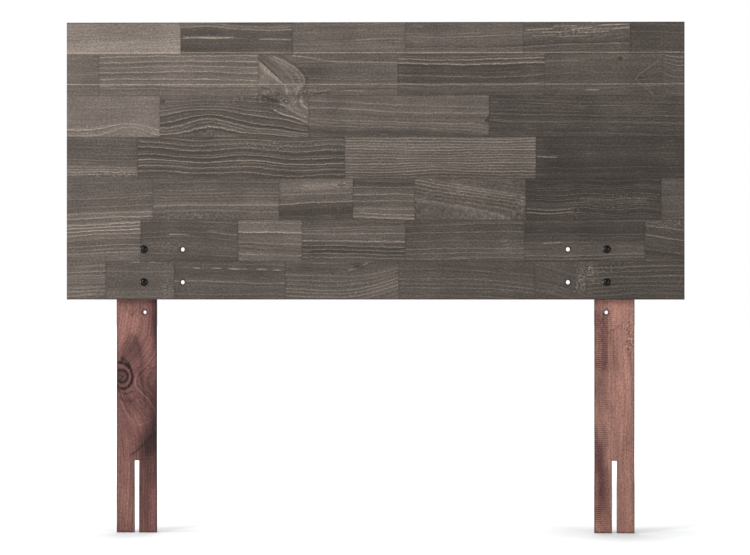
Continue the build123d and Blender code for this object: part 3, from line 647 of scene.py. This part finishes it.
def board(name, low, high, figure, upright=False, rounds=(JOINT_BEVEL,) * 4, holes=(), slots=(), grooves=(),
          fingers=(False, False), steps=(4.0, 1.0)):
    """One board as a closed skin.

    The front and back are heights over a lattice in X and Z: the CAD face, less the rounded edges, the
    V-grooves and the brushed hollows between the ring lines. `rounds` are the radii of the left, right, lower
    and upper edges.
    """
    length_x, length_z = high[0] - low[0], high[2] - low[2]
    left, right, lower, upper = rounds
    bends = [0.0, 0.1, 0.3, 0.6, 1.0]
    extra_x = [low[0] + left * b for b in bends] + [high[0] - right * b for b in bends]
    extra_z = [low[2] + lower * b for b in bends] + [high[2] - upper * b for b in bends]
    for low_x, high_x, high_z in slots:
        extra_x += [low_x - SLOT_ROUND, low_x, high_x, high_x + SLOT_ROUND]
        extra_z += [high_z, high_z + SLOT_ROUND]
    for z in grooves:
        extra_z += [z - GROOVE_HALF, z, z + GROOVE_HALF]
    blocks_x = sorted({(x, hole_block(r)) for x, _, r in holes})
    blocks_z = sorted({(z, hole_block(r)) for _, z, r in holes})
    xs = stations(low[0], high[0], steps[0], extra_x, blocks_x)
    zs = stations(low[2], high[2], steps[1], extra_z, blocks_z)
    depths = np.linspace(0, 1, FINGER_STEPS + 1)
    faces, kinds = lattice_faces(solid_cells(xs, zs, holes, slots), len(depths))
    used, faces = np.unique(faces, return_inverse=True)
    faces = faces.reshape(-1, 4)
    i = used // (len(zs) * len(depths))
    k = used // len(depths) % len(zs)
    j = used % len(depths)
    x, z, t = xs[i], zs[k], depths[j]
    for hole in holes:
        x, z = round_off(x, z, hole)
    edge = np.maximum.reduce([
        edge_drop(x - low[0], left), edge_drop(high[0] - x, right),
        edge_drop(z - low[2], lower), edge_drop(high[2] - z, upper),
    ])
    fades = np.minimum.reduce([x - low[0], high[0] - x, z - low[2], high[2] - z])
    for low_x, high_x, high_z in slots:
        gap = np.maximum.reduce([low_x - x, x - high_x, z - high_z])
        edge = np.maximum(edge, edge_drop(gap, SLOT_ROUND))
    # Darker rims: stain with painted shade along the rounded outer edges, stain at the joints between staves
    rim = np.zeros_like(x)
    for radius, distance in zip(rounds, (x - low[0], high[0] - x, z - low[2], high[2] - z)):
        strength, width = EDGE_STAIN_AND_SHADE if radius > JOINT_BEVEL else JOINT_STAIN
        if upright:
            strength, width = LEG_EDGE_STAIN_AND_SHADE
        rim = np.maximum(rim, strength * np.exp(-((distance / width) ** 2)))
    # Painted shade of each hole's wall: a dark ring round the hole
    for centre_x, centre_z, radius in holes:
        strength, width = HOLE_PAINTED_SHADE
        distance = np.hypot(x - centre_x, z - centre_z) - radius
        rim = np.maximum(rim, strength * np.exp(-((distance / width) ** 2)))
    notch = np.zeros_like(x)
    for groove_z in grooves:
        notch = np.maximum(notch, GROOVE_DEPTH * (1 - np.abs(z - groove_z) / GROOVE_HALF))

    u, w = (z - low[2], x - low[0]) if upright else (x - low[0], high[2] - z)
    span = length_z if upright else length_x
    depth = t * (high[1] - low[1])
    line = figure.line_at(u, w, depth, span)
    rings = line / figure.ring + 31 * figure.seed
    streaks, tone, knot = figure.streaked(u, w, line), figure.shade(u, w, line), figure.knot_cover(u, w)
    ridge = np.maximum(ring_line(rings) * figure.strength, np.clip(streaks, 0, 1))
    hollow = BRUSHED_DEPTH * (1 - ridge) + 0.12 * np.clip(-streaks, 0, 1) - 0.1 * knot
    hollow = MEAN_HOLLOW + (hollow - MEAN_HOLLOW) * np.clip(fades / 2.0, 0, 1)
    face_front = low[1] + edge + np.maximum(hollow, notch)
    face_back = high[1] - edge - 0.5 * hollow
    y = face_front * (1 - t) + face_back * t
    tooth = FINGER_LENGTH * (j % 2)
    for wanted, distance in zip(fingers, (x - low[0], high[0] - x)):
        if wanted:
            x = x + tooth * np.clip(1 - distance / FINGER_REACH, 0, 1)
    # Along a V-groove the front turns pale: bare wood with a painted highlight
    in_groove = soft_step((notch - 0.35) / 0.35) * (t == 0)
    streaks = np.where(in_groove > 0, streaks * (1 - in_groove) + GROOVE_BARE_WOOD_AND_HIGHLIGHT * in_groove, streaks)
    mesh = mesh_from(name, np.stack([x, y, z], 1) * MM, faces)
    add_values(mesh, "rings", rings)
    add_values(mesh, "streaks", streaks)
    add_values(mesh, "tone", (tone / 0.5) ** 2.2)
    add_values(mesh, "knot", knot)
    add_values(mesh, "saw_marks", (1 - t) * figure.saw_marks(u, w))
    add_values(mesh, "scuffed", (1 - t) * figure.scuffed(u, w))
    add_values(mesh, "rim_stain_and_shade", rim)
    add_values(mesh, "ring_strength", np.full(len(x), figure.strength))
    grain = mesh.attributes.new("grain", "FLOAT_VECTOR", "POINT")
    # Where the lines come to a point they stop marking places across the board, so the third place helps
    inward = depth + 0.35 * w if figure.peak else depth
    seat = np.stack([u + SEED_ALONG * figure.seed, line + SEED_ACROSS * figure.seed, inward], 1) * MM
    grain.data.foreach_set("vector", seat.astype(np.float32).ravel())
    share_x, share_z = (xs[i] - low[0]) / length_x, (zs[k] - low[2]) / length_z
    add_map(mesh, faces, kinds, *((share_z, share_x) if upright else (share_x, share_z)), t)
    return mesh


# ---------------------------------------------------------------- materials


class Graph:
    """A small helper that adds and links shader nodes."""

    def __init__(self, name):
        self.material = bpy.data.materials.new(name)
        self.material.use_nodes = True
        self.nodes = self.material.node_tree.nodes
        self.links = self.material.node_tree.links
        self.shader = self.nodes["Principled BSDF"]

    def add(self, kind, inputs=(), **settings):
        """A node with its settings and its inputs, each a number, a colour or another node's output."""
        node = self.nodes.new(kind)
        for key, value in settings.items():
            setattr(node, key, value)
        for key, value in dict(inputs).items():
            self.put(node.inputs[key], value)
        return node

    def put(self, socket, value):
        """Links another node's output to a socket, or sets the socket to a plain value."""
        if isinstance(value, bpy.types.NodeSocket):
            self.links.new(value, socket)
        else:
            socket.default_value = value

    def math(self, operation, a, b=0.0, c=0.0, clamp=False):
        """One sum on up to three values."""
        return self.add("ShaderNodeMath", {0: a, 1: b, 2: c}, operation=operation, use_clamp=clamp).outputs[0]

    def blend(self, share, a, b, mode="MIX"):
        """Two colours mixed, the second by its share."""
        node = self.add("ShaderNodeMix", {0: share, 6: a, 7: b}, data_type="RGBA", blend_type=mode)
        return node.outputs[2]

    def fit(self, value, low, high, to_low=0.0, to_high=1.0):
        """A value carried from one range to another along a soft S."""
        inputs = {0: value, 1: low, 2: high, 3: to_low, 4: to_high}
        return self.add("ShaderNodeMapRange", inputs, interpolation_type="SMOOTHSTEP").outputs[0]

    def value(self, name):
        """A number stored on the mesh."""
        return self.add("ShaderNodeAttribute", attribute_name=name).outputs["Fac"]

    def noise(self, place, scale, stretch, detail=3.0, roughness=0.55):
        """Noise over places that are first scaled along each axis."""
        mapped = self.add("ShaderNodeMapping", {"Vector": place, "Scale": stretch}).outputs[0]
        inputs = {"Vector": mapped, "Scale": scale, "Detail": detail, "Roughness": roughness}
        return self.add("ShaderNodeTexNoise", inputs).outputs[0]


def pine(name, base, pale, deep, roughness, mottle, dark_tint=WHITE):
    """Stained, brushed pine. The fibres, ring lines and streaks follow the numbers stored on each board.

    `dark_tint` multiplies the colour where the stain came out darkest.
    """
    g = Graph(name)
    seat = g.add("ShaderNodeAttribute", attribute_name="grain").outputs["Vector"]
    rings = g.value("rings")
    fibre = g.noise(seat, 620.0, (0.03, 1.0, 1.0), 3.0, 0.6)
    thread = g.noise(seat, 230.0, (0.02, 1.0, 1.0), 2.0, 0.5)
    cloud = g.noise(seat, 14.0, (0.3, 1.0, 1.0), 4.0, 0.55)
    speck = g.noise(seat, 300.0, (0.55, 1.0, 1.0), 3.0, 0.7)
    broken = g.noise(seat, 90.0, (0.25, 1.0, 1.0), 2.0, 0.5)
    grit = g.noise(seat, 300.0, (0.8, 1.0, 1.0), 2.0, 0.6)
    blotch = g.noise(seat, 42.0, (0.3, 1.0, 1.0), 5.0, 0.65)

    wobble = g.math("MULTIPLY_ADD", thread, 0.16, g.math("SUBTRACT", rings, 0.08))
    number = g.math("FLOOR", wobble)
    part = g.math("FRACT", wobble)
    pick = g.math("FRACT", g.math("ABSOLUTE", g.math("MULTIPLY", number, GOLDEN_STEP)))
    other = g.math("FRACT", g.math("ABSOLUTE", g.math("MULTIPLY", number, PLASTIC_STEP)))
    strength = g.value("ring_strength")
    fleck = g.fit(g.noise(seat, 300.0, (0.09, 1.0, 1.0), 2.0, 0.5), 0.58, 0.74)
    pore = g.fit(g.noise(seat, 360.0, (0.10, 1.0, 1.0), 2.0, 0.5), 0.40, 0.26)
    crest = g.math("MULTIPLY", g.fit(part, 0.0, 0.24, 1.0, 0.0), g.fit(pick, 0.25, 1.0))
    crest = g.math("MULTIPLY", g.math("MULTIPLY", crest, strength), g.fit(broken, 0.36, 0.60, 0.25, 1.0))
    groove = g.math("MULTIPLY", g.fit(part, 0.22, 0.34), g.fit(part, 0.34, 0.62, 1.0, 0.0))
    groove = g.math("MULTIPLY", g.math("MULTIPLY", groove, other), strength)

    streaks = g.value("streaks")
    frayed = g.fit(g.math("MULTIPLY_ADD", grit, 0.6, g.math("MULTIPLY", fibre, 0.4)), 0.36, 0.62, 0.45, 1.35)
    bright = g.math("MULTIPLY", g.math("MAXIMUM", streaks, 0.0), frayed)
    dark = g.math("MULTIPLY", g.math("MAXIMUM", g.math("MULTIPLY", streaks, -1.0), 0.0), frayed)

    level = g.math("MULTIPLY_ADD", fibre, 0.46, 0.77)
    level = g.math("MULTIPLY", level, g.math("MULTIPLY_ADD", grit, 1.50, 0.25))
    level = g.math("MULTIPLY", level, g.math("MULTIPLY_ADD", blotch, mottle - 0.4, 1.2 - mottle / 2))
    level = g.math("MULTIPLY", level, g.math("MULTIPLY_ADD", thread, 0.60, 0.70))
    level = g.math("MULTIPLY", level, g.math("MULTIPLY_ADD", cloud, mottle, 1 - mottle / 2))
    level = g.math("MULTIPLY", level, g.math("MULTIPLY_ADD", speck, 1.30, 0.35))
    swing = g.math("MULTIPLY", g.math("SUBTRACT", other, 0.5), g.math("MULTIPLY", strength, 0.30))
    level = g.math("MULTIPLY", level, g.math("ADD", swing, 1.0))
    # The tone holds each board's stain, and on the staves also a painted falloff of light across the panel
    level = g.math("MULTIPLY", level, g.value("tone"))
    grey = g.add("ShaderNodeCombineColor", {0: level, 1: level, 2: level}).outputs[0]
    tint = g.blend(g.fit(g.value("tone"), 0.45, 0.95), dark_tint, WHITE)
    colour = g.blend(1.0, g.blend(1.0, base, tint, "MULTIPLY"), grey, "MULTIPLY")
    beat = g.add("ShaderNodeSeparateXYZ", {0: seat}).outputs["X"]
    beat = g.math("MULTIPLY_ADD", beat, 2 * math.pi / (SAW_PITCH * MM), g.math("MULTIPLY", broken, 7.0))
    beat = g.fit(g.math("SINE", beat), 0.0, 0.95)
    saw = g.math("MULTIPLY", beat, g.value("saw_marks"))
    saw = g.math("MULTIPLY", saw, g.fit(blotch, 0.36, 0.62, 1.3, 0.4))
    shade = g.math("ADD", g.math("MULTIPLY", groove, 0.48), g.math("MULTIPLY", dark, 0.95), clamp=True)
    shade = g.math("ADD", shade, g.math("MULTIPLY", pore, 0.28), clamp=True)
    shade = g.math("ADD", shade, g.math("MULTIPLY", saw, 0.9), clamp=True)
    scratch, scuffed = g.noise(seat, 240.0, (0.7, 1.0, 1.0), 3.0, 0.7), g.value("scuffed")
    gouged = g.math("MULTIPLY", g.fit(scratch, 0.47, 0.39), scuffed)
    raised = g.math("MULTIPLY", g.fit(scratch, 0.54, 0.63), scuffed)
    shade = g.math("ADD", shade, g.math("MULTIPLY", gouged, 0.8), clamp=True)
    colour = g.blend(shade, colour, deep)
    light = g.math("ADD", g.math("MULTIPLY", crest, 0.45), g.math("MULTIPLY", bright, 0.75), clamp=True)
    light = g.math("ADD", light, g.math("MULTIPLY", fleck, 0.12), clamp=True)
    light = g.math("ADD", light, g.math("MULTIPLY", raised, 0.8), clamp=True)
    light = g.math("MULTIPLY", light, g.fit(g.value("tone"), 0.15, 0.85, 0.45, 0.92))
    colour = g.blend(light, colour, pale)
    colour = g.blend(g.math("MULTIPLY", g.value("knot"), 0.55), colour, deep)
    # Darkening at rims: stain, with painted shade on the rounded outer edges and round the holes
    stain = g.math("MULTIPLY", g.value("rim_stain_and_shade"), g.fit(speck, 0.3, 0.65, 1.0, 0.6), clamp=True)
    colour = g.blend(stain, colour, deep)
    g.put(g.shader.inputs["Base Color"], colour)

    rough = g.fit(fibre, 0.3, 0.7, roughness - 0.10, roughness + 0.12)
    rough = g.math("SUBTRACT", rough, g.math("MULTIPLY", light, 0.10), clamp=True)
    g.put(g.shader.inputs["Roughness"], rough)
    g.shader.inputs["Specular IOR Level"].default_value = 0.14
    height = g.math("MULTIPLY_ADD", fibre, 0.7, g.math("MULTIPLY", speck, 0.2))
    height = g.math("ADD", height, g.math("MULTIPLY", g.math("SUBTRACT", light, shade), 0.5))
    bump = g.add("ShaderNodeBump", {"Strength": 0.55, "Distance": 0.0006, "Height": height})
    g.put(g.shader.inputs["Normal"], bump.outputs[0])
    return g.material


def black_paint():
    """Glossy black enamel over steel, faintly uneven, with dust-dull patches."""
    g = Graph("black_enamel")
    seat = g.add("ShaderNodeTexCoord").outputs["Object"]
    haze = g.noise(seat, 350.0, (1.0, 1.0, 1.0), 4.0, 0.6)
    colour = g.blend(g.fit(haze, 0.35, 0.75), (0.0008, 0.0008, 0.0009, 1.0), (0.002, 0.0019, 0.0018, 1.0))
    g.put(g.shader.inputs["Base Color"], colour)
    g.put(g.shader.inputs["Roughness"], g.fit(haze, 0.3, 0.7, 0.04, 0.09))
    g.shader.inputs["Specular IOR Level"].default_value = 0.18
    bump = g.add("ShaderNodeBump", {"Strength": 0.18, "Distance": 0.0003, "Height": haze})
    g.put(g.shader.inputs["Normal"], bump.outputs[0])
    return g.material


def zinc():
    """Bright zinc plate, spangled and lightly scuffed."""
    g = Graph("zinc_plate")
    seat = g.add("ShaderNodeTexCoord").outputs["Object"]
    spangle = g.noise(seat, 900.0, (1.0, 1.0, 1.0), 2.0, 0.5)
    scuff = g.noise(seat, 260.0, (1.0, 0.2, 3.0), 4.0, 0.6)
    colour = g.blend(g.fit(spangle, 0.35, 0.65), (0.26, 0.27, 0.28, 1.0), (0.42, 0.42, 0.42, 1.0))
    g.put(g.shader.inputs["Base Color"], colour)
    g.shader.inputs["Metallic"].default_value = 1.0
    g.put(g.shader.inputs["Roughness"], g.fit(scuff, 0.3, 0.7, 0.22, 0.44))
    bump = g.add("ShaderNodeBump", {"Strength": 0.12, "Distance": 0.0002, "Height": scuff})
    g.put(g.shader.inputs["Normal"], bump.outputs[0])
    return g.material


FOOT_XS = (-532.0, 532.0)


def paper_white():
    """The floor: white seamless paper with a faint fibre. It glows a little, less close to the two feet, so
    that it loses its edge far off and keeps a soft shadow at each foot."""
    g = Graph("white_paper")
    seat = g.add("ShaderNodeTexCoord").outputs["Object"]
    fibre = g.noise(seat, 90.0, (1.0, 1.0, 1.0), 3.0, 0.6)
    colour = g.blend(g.fit(fibre, 0.3, 0.7), (0.80, 0.80, 0.80, 1.0), (0.82, 0.82, 0.82, 1.0))
    g.put(g.shader.inputs["Base Color"], colour)
    g.shader.inputs["Roughness"].default_value = 0.9
    reach = g.add("ShaderNodeVectorMath", {0: seat}, operation="LENGTH").outputs["Value"]
    g.shader.inputs["Emission Color"].default_value = WHITE
    near = []
    for x in FOOT_XS:
        foot = {0: seat, 1: (x * MM, 0.0, 0.0)}
        near.append(g.add("ShaderNodeVectorMath", foot, operation="DISTANCE").outputs["Value"])
    glow = g.fit(g.math("MINIMUM", *near), 0.05, 0.32, 0.0, 0.24)
    g.put(g.shader.inputs["Emission Strength"], g.math("MAXIMUM", glow, g.fit(reach, 0.9, 3.2, 0.0, 0.93)))
    return g.material


# ---------------------------------------------------------------- hardware


def hex_reach(angle):
    """How far a hexagon of unit half-width reaches at each angle, its corners at multiples of 60 degrees."""
    return 1 / np.cos((angle % (math.pi / 3)) - math.pi / 6)


def square_reach(angle, corner):
    """How far a square of unit half-width reaches at each angle, its corners rounded off at `corner`."""
    return np.minimum(1 / np.maximum(np.abs(np.cos(angle)), np.abs(np.sin(angle))), corner)


def swept(name, centre, radii, ys, closed):
    """A closed skin about a line along Y: one ring of points for each row of radii, joined in order.

    A ring's points stand at even angles, at the given radius and Y. A closed path joins its last ring to its
    first; an open one has a fan of triangles at each end.
    """
    rings, turns = radii.shape
    angle = np.arange(turns) * 2 * math.pi / turns
    x = centre[0] + radii * np.cos(angle)
    z = centre[2] + radii * np.sin(angle)
    points = np.stack([x, np.broadcast_to(ys[:, None], x.shape), z], 2).reshape(-1, 3)
    i, k = np.meshgrid(np.arange(rings - (not closed)), np.arange(turns), indexing="ij")
    after, beside = (i + 1) % rings, (k + 1) % turns
    around = [i * turns + k, after * turns + k, after * turns + beside, i * turns + beside]
    quads = np.stack(around, 2).reshape(-1, 4)
    if closed:
        return mesh_from(name, points * MM, quads)
    k = np.arange(turns)
    first, last = len(points), len(points) + 1
    start = np.stack([np.full(turns, first), k, (k + 1) % turns], 1)
    edge = (rings - 1) * turns
    end = np.stack([edge + k, np.full(turns, last), edge + (k + 1) % turns], 1)
    poles = [[centre[0], ys[0], centre[2]], [centre[0], ys[-1], centre[2]]]
    return mesh_from(name, np.concatenate([points, poles]) * MM, quads, np.concatenate([start, end]))


BOLT_TURNS = 48
HEAD_RIM = 0.5
HEAD_RADIUS = 8.75
HEAD_HEIGHT = 4.2
SHANK_RADIUS = 3.95
NECK_LENGTH = 5.0
THREAD_DEPTH = 0.62
THREAD_STEPS = 6
TIP_CHAMFER = 0.8
SMOOTH_SHANK = 12.0


def carriage_bolt(name, node):
    """A domed head, a square neck, and a shank whose thread is a ridge that climbs one pitch for a turn."""
    low, high = corners(node)
    centre = (low + high) / 2
    seat, tip = low[1] + HEAD_HEIGHT, high[1]
    angle = np.arange(BOLT_TURNS) * 2 * math.pi / BOLT_TURNS
    rise = HEAD_HEIGHT - HEAD_RIM
    ball = (HEAD_RADIUS**2 + rise**2) / (2 * rise)
    lean = math.asin(HEAD_RADIUS / ball) * np.linspace(0.04, 1, 12)
    path = [(ball * math.sin(a), low[1] + ball * (1 - math.cos(a)), 0) for a in lean]
    path += [(HEAD_RADIUS, seat - 0.12, 0), (HEAD_RADIUS - 0.12, seat, 0), (SHANK_RADIUS * 1.15, seat, 1)]
    path += [(SHANK_RADIUS, seat + 0.2, 1), (SHANK_RADIUS, seat + NECK_LENGTH - 0.6, 1)]
    path += [(SHANK_RADIUS, seat + NECK_LENGTH, 0)]
    radius, y, squareness = np.array(path).T
    square = square_reach(angle, 1.3)
    radii = radius[:, None] * (1 + squareness[:, None] * (square - 1))
    start = seat + SMOOTH_SHANK
    turned = np.linspace(start, tip, round((tip - start) / THREAD_PITCH * THREAD_STEPS))
    phase = (turned[:, None] / THREAD_PITCH - angle / (2 * math.pi)) % 1
    ridge = np.abs(2 * phase - 1)
    fade = np.clip((turned - start) / THREAD_PITCH, 0, 1)[:, None]
    threaded = SHANK_RADIUS - THREAD_DEPTH * fade * np.clip(1.15 * ridge - 0.1, 0, 1)
    tapered = SHANK_RADIUS - TIP_CHAMFER + np.clip(tip - turned, 0, TIP_CHAMFER)[:, None]
    radii = np.concatenate([radii, np.minimum(threaded, tapered)])
    return swept(name, centre, radii, np.concatenate([y, turned]), False)


WASHER_BORE = 4.7
WASHER_ROUND = 0.35
NUT_BORE = 4.0
NUT_TURNS = 72
NUT_FLAT = 6.35


def washer(name, node):
    """A flat ring with rolled edges: out along its front, over its rim, in along its back, then the bore."""
    low, high = corners(node)
    rim, soft = (high[0] - low[0]) / 2, WASHER_ROUND
    path = [(WASHER_BORE + 0.2, low[1]), (rim - 2 * soft, low[1]), (rim - 0.6 * soft, low[1] + 0.15 * soft)]
    path += [(rim, low[1] + soft), (rim, high[1] - soft), (rim - 0.6 * soft, high[1] - 0.15 * soft)]
    path += [(rim - 2 * soft, high[1]), (WASHER_BORE + 0.2, high[1]), (WASHER_BORE, high[1] - 0.2)]
    path += [(WASHER_BORE, low[1] + 0.2)]
    radius, y = np.array(path).T
    return swept(name, (low + high) / 2, np.repeat(radius[:, None], BOLT_TURNS, 1), y, True)


def hex_nut(name, node):
    """A hexagon whose corners are cut by a cone at both faces, round a smooth bore."""
    low, high = corners(node)
    angle = np.arange(NUT_TURNS) * 2 * math.pi / NUT_TURNS
    turn = 0.0 if high[0] - low[0] > high[2] - low[2] else math.pi / 6
    hexagon = NUT_FLAT * hex_reach(angle + turn)
    inner = np.full(NUT_TURNS, NUT_BORE)
    cone = [NUT_FLAT * 0.94, NUT_FLAT * 1.01, NUT_FLAT * 1.08, NUT_FLAT * 1.16]
    rise = [0.0, 0.25, 0.45, 0.7]
    rows = [inner + 0.35] + [np.minimum(hexagon, c) for c in cone]
    ys = [low[1]] + [low[1] + r for r in rise]
    rows += [np.minimum(hexagon, c) for c in cone[::-1]] + [inner + 0.35, inner, inner]
    ys += [high[1] - r for r in rise[::-1]] + [high[1], high[1] - 0.35, low[1] + 0.35]
    return swept(name, (low + high) / 2, np.array(rows), np.array(ys), True)


# ---------------------------------------------------------------- the headboard

stave_wood = pine(
    "brushed_pine_grey", base=(0.135, 0.111, 0.095, 1), pale=(0.48, 0.40, 0.325, 1),
    deep=(0.016, 0.013, 0.011, 1), roughness=0.74, mottle=0.7,
)
leg_wood = pine(
    "stained_pine_red", base=(0.242, 0.122, 0.096, 1), pale=(0.46, 0.28, 0.22, 1),
    deep=(0.016, 0.006, 0.007, 1), roughness=0.72, mottle=1.3, dark_tint=(1.0, 0.88, 1.0, 1.0),
)

bolts = sorted(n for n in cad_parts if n.startswith("bolt_"))
bolt_places = [((corners(n)[0] + corners(n)[1]) / 2)[[0, 2]] for n in bolts]
bolt_heights = sorted({round(p[1], 2) for p in bolt_places})
spare_places = [(side * SPARE_COLUMN_X, z) for side in (-1, 1) for z in bolt_heights]

staves = sorted(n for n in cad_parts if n.startswith("stave_"))
panel_low = np.min([corners(n)[0] for n in staves], 0)
panel_high = np.max([corners(n)[1] for n in staves], 0)


def holes_within(low, high, places, radius):
    """The holes whose whole block of cells lies inside a board's outline."""
    half = hole_block(radius) + 1
    return [
        (x, z, radius) for x, z in places
        if low[0] + half < x < high[0] - half and low[2] + half < z < high[2] - half
    ]


for count, node in enumerate(staves):
    low, high = corners(node)
    row_start, row_end = low[0] < panel_low[0] + 1, high[0] > panel_high[0] - 1
    # A stave's node reaches past its right face line by the length of its fingers
    high[0] -= 0 if row_end else FINGER_LENGTH
    outer = (row_start, row_end, low[2] < panel_low[2] + 1, high[2] > panel_high[2] - 1)
    rounds = tuple(PANEL_ROUND if at_edge else JOINT_BEVEL for at_edge in outer)
    figure = STAVE_FIGURES[node]
    figure.seed = (count * 7) % 41 + 0.5
    grooves = [panel_high[2] - d for d in GROOVE_DROPS if low[2] < panel_high[2] - d < high[2]]
    holes = holes_within(low, high, bolt_places, BOLT_HOLE_RADIUS)
    holes += holes_within(low, high, spare_places, SPARE_HOLE_RADIUS)
    mesh = board(
        f"plank_{node[6:]}", low, high, figure, rounds=rounds, holes=holes, grooves=grooves,
        fingers=(not row_start, not row_end), steps=(2.0 if figure.marks else 4.0, 1.0),
    )
    place_object(mesh, "root", node, stave_wood)

for count, node in enumerate(("leg_left", "leg_right")):
    low, high = corners(node)
    middle = (low[0] + high[0]) / 2
    figure = LEG_FIGURES[node]
    figure.seed = 50.5 + count
    mine = [p for p in bolt_places if low[0] < p[0] < high[0]]
    spare = [(mine[0][0], min(p[1] for p in mine) - SPARE_LEG_DROP)]
    holes = [(p[0], p[1], BOLT_HOLE_RADIUS) for p in mine + spare]
    slots = [(middle - SLOT_HALF, middle + SLOT_HALF, low[2] + SLOT_LENGTH)]
    mesh = board(
        f"post_{node[4:]}", low, high, figure, upright=True, rounds=(LEG_ROUND,) * 4, holes=holes,
        slots=slots, steps=(1.1, 2.2),
    )
    place_object(mesh, "root", node, leg_wood)

enamel, plate = black_paint(), zinc()
for node in bolts:
    corner = node[5:]
    washer_node, nut_node = f"washer_{corner}", f"nut_{corner}"
    place_object(carriage_bolt(f"carriage_bolt_{corner}", node), "root", node, enamel)
    ring, nut = washer(f"flat_washer_{corner}", washer_node), hex_nut(f"hex_nut_{corner}", nut_node)
    place_object(ring, f"{corner}_washer", washer_node, plate)
    place_object(nut, f"{corner}_nut", nut_node, plate)


# ---------------------------------------------------------------- studio

FLOOR_HALF = 30.0
FLOOR_CELLS = 40
FLOOR_GAP = 0.0005
floor_row = FLOOR_CELLS + 1
floor_grid = np.linspace(-FLOOR_HALF, FLOOR_HALF, floor_row)
floor_x, floor_y = np.meshgrid(floor_grid, floor_grid, indexing="ij")
floor_i, floor_k = np.divmod(np.arange(FLOOR_CELLS**2), FLOOR_CELLS)
floor_first = floor_i * floor_row + floor_k
floor_next = floor_first + floor_row
floor_quads = np.stack([floor_first, floor_next, floor_next + 1, floor_first + 1], 1)
floor_points = np.stack([floor_x.ravel(), floor_y.ravel(), np.full(floor_x.size, -FLOOR_GAP)], 1)
floor_mesh = mesh_from("studio_floor", floor_points, floor_quads)
floor_mesh.materials.append(paper_white())
floor = bpy.data.objects.new("studio_floor", floor_mesh)
bpy.context.scene.collection.objects.link(floor)

world = bpy.data.worlds.new("studio")
bpy.context.scene.world = world
world.use_nodes = True
nodes, links = world.node_tree.nodes, world.node_tree.links
output = nodes["World Output"]
ambient, backdrop = nodes["Background"], nodes.new("ShaderNodeBackground")
ambient.inputs["Color"].default_value = (0.96, 0.98, 1.0, 1.0)
ambient.inputs["Strength"].default_value = 0.55
backdrop.inputs["Color"].default_value = WHITE
backdrop.inputs["Strength"].default_value = 1.0
rays, mixer = nodes.new("ShaderNodeLightPath"), nodes.new("ShaderNodeMixShader")
links.new(rays.outputs["Is Camera Ray"], mixer.inputs[0])
links.new(ambient.outputs[0], mixer.inputs[1])
links.new(backdrop.outputs[0], mixer.inputs[2])
links.new(mixer.outputs[0], output.inputs["Surface"])


def aim(thing, place, target):
    """Puts a lamp or camera at a place and turns it to look at a target."""
    thing.location = place
    thing.rotation_euler = (Vector(target) - Vector(place)).to_track_quat("-Z", "Y").to_euler()


def soft_lamp(name, place, target, size, power):
    """A white area lamp of the given size in metres and power in watts, aimed at a target."""
    lamp = bpy.data.lights.new(name, "AREA")
    lamp.shape = "RECTANGLE"
    lamp.size, lamp.size_y = size
    lamp.energy = power
    holder = bpy.data.objects.new(name, lamp)
    bpy.context.scene.collection.objects.link(holder)
    aim(holder, place, target)


soft_lamp("key_softbox", (-2.6, -3.6, 2.9), (0, 0, 0.6), (1.6, 1.6), 120)
soft_lamp("fill_softbox", (2.8, -3.4, 1.6), (0, 0, 0.6), (1.6, 2.0), 50)
soft_lamp("rim_softbox", (-3.2, -0.7, 0.9), (-0.6, 0, 0.8), (0.5, 1.4), 60)
soft_lamp("back_softbox", (0.0, 3.2, 2.6), (0, 0, 0.5), (2.4, 1.6), 60)

camera_data = bpy.data.cameras.new("camera")
camera_data.lens = 151.4
camera_data.sensor_width = 36.0
camera_data.clip_end = 100.0
camera = bpy.data.objects.new("camera", camera_data)
bpy.context.scene.collection.objects.link(camera)
aim(camera, (0.15, -7.025, 0.568), (0.0, -0.026, 0.568))
bpy.context.scene.camera = camera

bpy.context.scene.view_settings.view_transform = "Standard"
bpy.context.scene.view_settings.look = "None"
